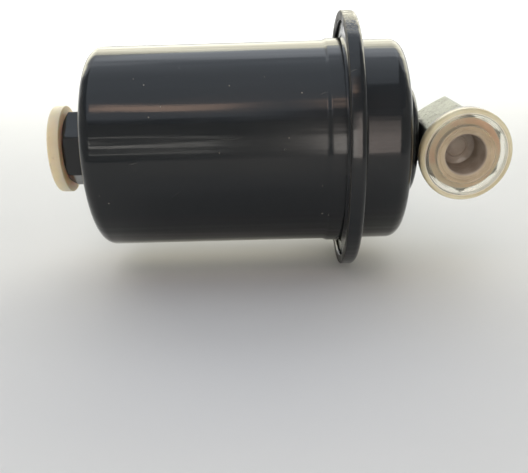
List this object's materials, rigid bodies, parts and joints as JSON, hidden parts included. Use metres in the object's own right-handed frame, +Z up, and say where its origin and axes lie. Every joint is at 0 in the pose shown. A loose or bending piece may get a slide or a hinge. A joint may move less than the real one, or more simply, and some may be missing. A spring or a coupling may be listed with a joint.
{
  "type": "fuel filter",
  "caption": "In-line fuel filter: painted steel can with a rolled seam flange, hexagonal inlet boss, side-facing outlet block and push-in dust plugs.",
  "frame": {"origin": "on the can's axis, half way along the drawn body, where a band clamp holds the filter", "axes": "+X along the can's axis from inlet to outlet, +Z up as it lies, outlet port facing -Y"},
  "size_m": [0.1623, 0.0914, 0.0914],
  "materials": {
    "black_paint": "gloss",
    "zinc_plate": "satin, zinc plated",
    "plain_steel": "satin",
    "spring_steel": "satin",
    "rubber": "matte",
    "cream_plastic": "translucent, satin",
    "tan_plastic": "translucent, satin",
    "filter_paper": "matte",
    "potting_adhesive": "satin"
  },
  "bodies": {
    "filter": {"body_shell": "black_paint", "cover_shell": "black_paint", "seam_gasket": "rubber", "inlet_boss": "black_paint", "outlet_block": "zinc_plate", "outlet_neck": "black_paint", "inlet_baffle": "plain_steel", "spring_seat": "plain_steel", "element_spring": "spring_steel", "element_inlet_cap": "plain_steel", "element_outlet_cap": "plain_steel", "pleated_paper": "filter_paper", "core_tube": "plain_steel", "potting_ring_inlet": "potting_adhesive", "potting_ring_outlet": "potting_adhesive", "pleat_clip": "plain_steel", "element_centring_ring": "plain_steel", "outlet_grommet": "rubber"},
    "inlet_cap": {"inlet_plug": "cream_plastic"},
    "outlet_cap": {"outlet_plug": "tan_plastic"}
  },
  "joints": [
    {"name": "inlet_plug_pull", "type": "slide", "parent": "filter", "child": "inlet_cap", "axis": [-1, 0, 0], "range_m": [0, 0.04]},
    {"name": "outlet_plug_pull", "type": "slide", "parent": "filter", "child": "outlet_cap", "axis": [0, -1, 0], "range_m": [0, 0.04]}
  ]
}
